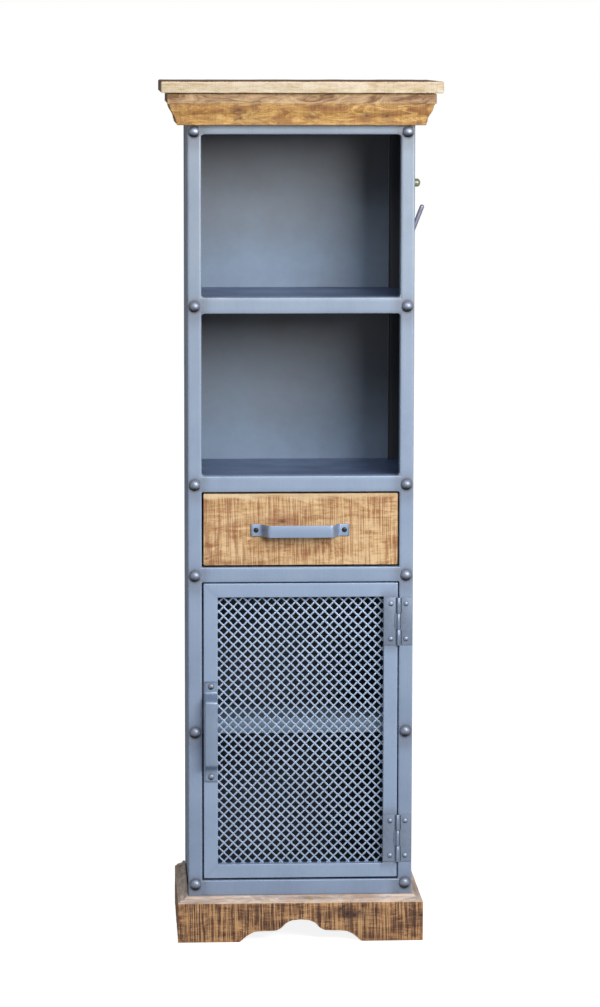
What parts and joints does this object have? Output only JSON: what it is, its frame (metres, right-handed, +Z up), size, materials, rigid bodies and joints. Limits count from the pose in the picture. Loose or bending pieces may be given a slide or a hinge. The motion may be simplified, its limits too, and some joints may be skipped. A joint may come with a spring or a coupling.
{
  "type": "tall cabinet",
  "caption": "Tall narrow steel-framed cabinet with open bays, a wood-fronted drawer, a mesh door, and a wooden crown and plinth.",
  "frame": {"origin": "on the floor, under the middle of the cabinet's bounding box", "axes": "+Z up, -Y out of the front, +X to the right seen from the front"},
  "size_m": [0.514, 0.35, 1.6],
  "materials": {
    "top_wood": "satin",
    "crown_wood": "satin",
    "plinth_wood": "rough-sawn, oiled",
    "drawer_wood": "rough-sawn, oiled",
    "frame_steel": "satin",
    "sheet_steel": "satin",
    "rivet_steel": "satin, heat-tinted",
    "handle_steel": "satin",
    "fixing_steel": "blackened",
    "door_steel": "satin",
    "mesh_steel": "satin",
    "hinge_steel": "satin",
    "hinge_pin_steel": "dull",
    "peg_metal": "aged",
    "catch_plastic": "matte"
  },
  "bodies": {
    "cabinet": {"top_board": "top_wood", "crown_front": "crown_wood", "crown_left": "crown_wood", "crown_right": "crown_wood", "plinth_front": "plinth_wood", "plinth_left": "plinth_wood", "plinth_right": "plinth_wood", "plinth_back": "plinth_wood", "post_front_left": "frame_steel", "post_front_right": "frame_steel", "post_back_left": "frame_steel", "post_back_right": "frame_steel", "rail_top": "frame_steel", "rail_shelf": "frame_steel", "rail_deck": "frame_steel", "rail_drawer": "frame_steel", "rail_bottom": "frame_steel", "side_panel_left": "sheet_steel", "side_panel_right": "sheet_steel", "back_panel": "sheet_steel", "ceiling_sheet": "sheet_steel", "upper_shelf": "sheet_steel", "display_floor": "sheet_steel", "drawer_bay_floor": "sheet_steel", "cupboard_shelf": "sheet_steel", "cupboard_floor": "sheet_steel", "rivet_left_1": "rivet_steel", "rivet_left_2": "rivet_steel", "rivet_left_3": "rivet_steel", "rivet_left_4": "rivet_steel", "rivet_left_5": "rivet_steel", "rivet_left_6": "rivet_steel", "rivet_right_1": "rivet_steel", "rivet_right_2": "rivet_steel", "rivet_right_3": "rivet_steel", "rivet_right_4": "rivet_steel", "rivet_right_5": "rivet_steel", "rivet_right_6": "rivet_steel", "drawer_runner_left": "sheet_steel", "drawer_runner_right": "sheet_steel", "side_hook": "handle_steel", "hinge_upper_post_leaf": "hinge_steel", "hinge_lower_post_leaf": "hinge_steel", "hinge_upper_pin": "hinge_pin_steel", "hinge_lower_pin": "hinge_pin_steel", "side_hook_peg": "peg_metal", "door_catch": "catch_plastic"},
    "drawer": {"drawer_front": "drawer_wood", "drawer_tray": "sheet_steel", "drawer_handle": "handle_steel", "drawer_handle_screw_left": "fixing_steel", "drawer_handle_screw_right": "fixing_steel"},
    "door": {"door_frame": "door_steel", "mesh_panel": "mesh_steel", "door_handle": "handle_steel", "door_handle_rivet_top": "rivet_steel", "door_handle_rivet_bottom": "rivet_steel", "hinge_upper_door_leaf": "hinge_steel", "hinge_lower_door_leaf": "hinge_steel"}
  },
  "joints": [
    {"name": "drawer_slide", "type": "slide", "parent": "cabinet", "child": "drawer", "axis": [0, -1, 0], "range_m": [0, 0.2]},
    {"name": "door_hinge", "type": "hinge", "parent": "cabinet", "child": "door", "pos_m": [0.1822, -0.1308, 0.396], "axis": [0, 0, 1], "range_deg": [0, 160]}
  ]
}
